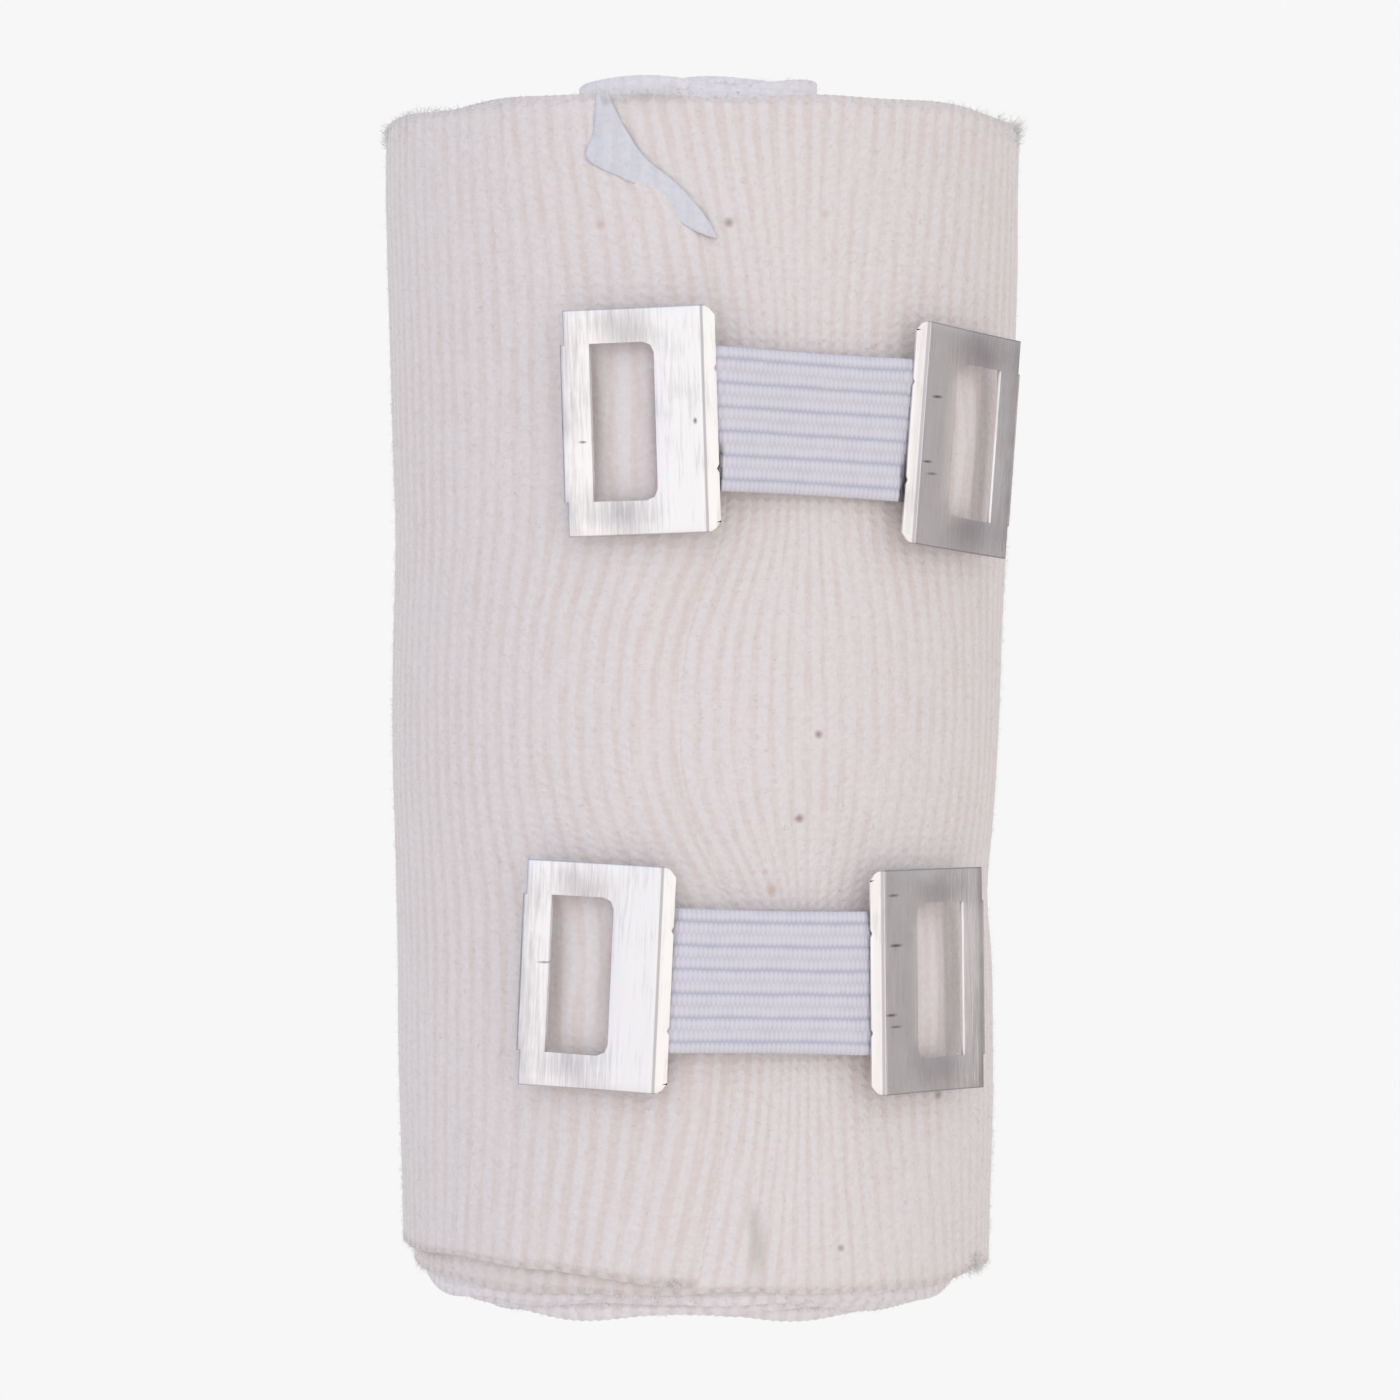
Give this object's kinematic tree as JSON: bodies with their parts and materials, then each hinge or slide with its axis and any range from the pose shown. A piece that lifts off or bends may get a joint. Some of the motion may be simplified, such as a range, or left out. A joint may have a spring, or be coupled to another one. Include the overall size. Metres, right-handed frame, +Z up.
{
  "type": "elastic support bandage",
  "caption": "Rolled elastic crepe support bandage lying on its side, its free end held by stretch clips with pierced metal end plates.",
  "frame": {"origin": "on the surface that the roll rests on, under the middle of the roll's box", "axes": "+Y along the roll's axis towards its wider upper end in the picture, +X across the roll to the picture's right, +Z up out of the face with the clips"},
  "size_m": [0.0564, 0.1062, 0.0484],
  "materials": {
    "crepe_cloth": "ribbed elastic crepe, off-white, matt",
    "elastic_tape": "corded elastic tape, cool white, matt",
    "clip_metal": "brushed along the plate's long side"
  },
  "bodies": {
    "root": {"bandage_roll": "crepe_cloth", "upper_clip_band": "elastic_tape", "upper_clip_plate_left": "clip_metal", "upper_clip_plate_right": "clip_metal", "lower_clip_band": "elastic_tape", "lower_clip_plate_left": "clip_metal", "lower_clip_plate_right": "clip_metal"}
  },
  "joints": []
}
